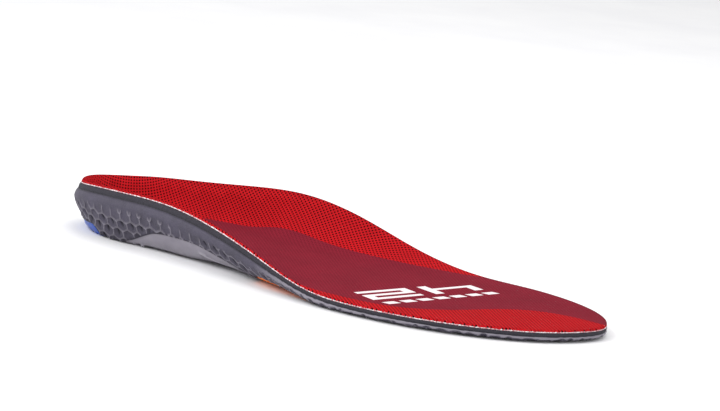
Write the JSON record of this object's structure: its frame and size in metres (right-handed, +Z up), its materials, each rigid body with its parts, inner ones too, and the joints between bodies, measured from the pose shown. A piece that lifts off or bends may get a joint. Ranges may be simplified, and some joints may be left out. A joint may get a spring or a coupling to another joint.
{
  "type": "cushioned insole",
  "caption": "Full-length cushioned shoe insole with a deep heel cup, a raised arch, a moulded arch plate and two inlaid pads.",
  "frame": {"origin": "on the ground at the centre line, where the heel pad rests, 14.5 mm forward of the back of the heel rim", "axes": "+X from heel to toe, +Y to the arch and big toe side, +Z up"},
  "size_m": [0.2732, 0.0973, 0.0268],
  "materials": {
    "cover": "matt woven mesh",
    "bond": "matt adhesive film",
    "cushion": "matt open foam",
    "base": "satin moulded foam",
    "plate": "semi-gloss moulded plastic",
    "heel_pad": "satin gel rubber",
    "forefoot_pad": "satin textured rubber"
  },
  "bodies": {
    "root": {"top_cover": "cover", "cover_bond_film": "bond", "cushion_layer": "cushion", "base_bond_film": "bond", "base_shell": "base", "arch_plate": "plate", "arch_plate_bond_film": "bond", "heel_pad": "heel_pad", "heel_pad_bond_film": "bond", "forefoot_pad": "forefoot_pad", "forefoot_pad_bond_film": "bond"}
  },
  "joints": []
}
